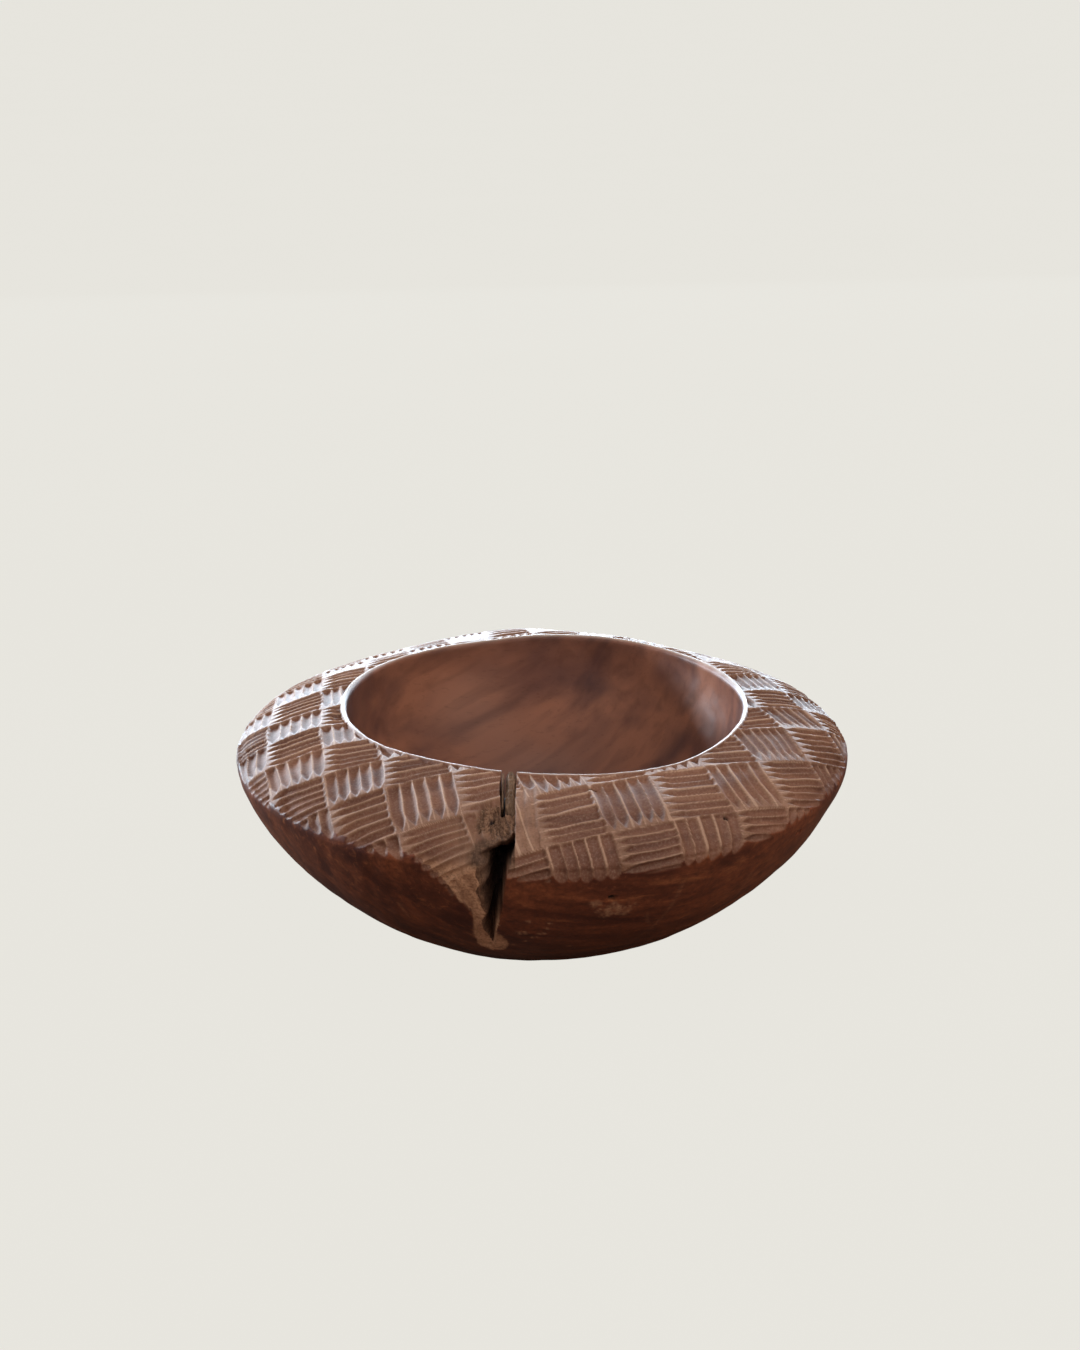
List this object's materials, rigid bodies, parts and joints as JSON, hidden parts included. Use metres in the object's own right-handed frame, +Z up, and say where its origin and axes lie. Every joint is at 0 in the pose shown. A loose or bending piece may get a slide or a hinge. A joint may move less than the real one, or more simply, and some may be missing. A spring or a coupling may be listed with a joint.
{
  "type": "carved wooden bowl",
  "caption": "Thick hand-carved round wooden bowl with a smooth hollow, a gouged basket-weave band, a small flat foot and an open split at the front.",
  "frame": {"origin": "centre of the flat foot, on the surface that the bowl stands on", "axes": "+Z up through the opening, -Y towards the front, where the split is, +X to the right seen from the front"},
  "size_m": [0.3, 0.3, 0.11],
  "materials": {
    "carved_wood": "satin",
    "weathered_wood": "matte"
  },
  "bodies": {
    "root": {"bowl_body": "carved_wood", "dead_wood_strip": "weathered_wood", "loose_splinter": "weathered_wood"}
  },
  "joints": []
}
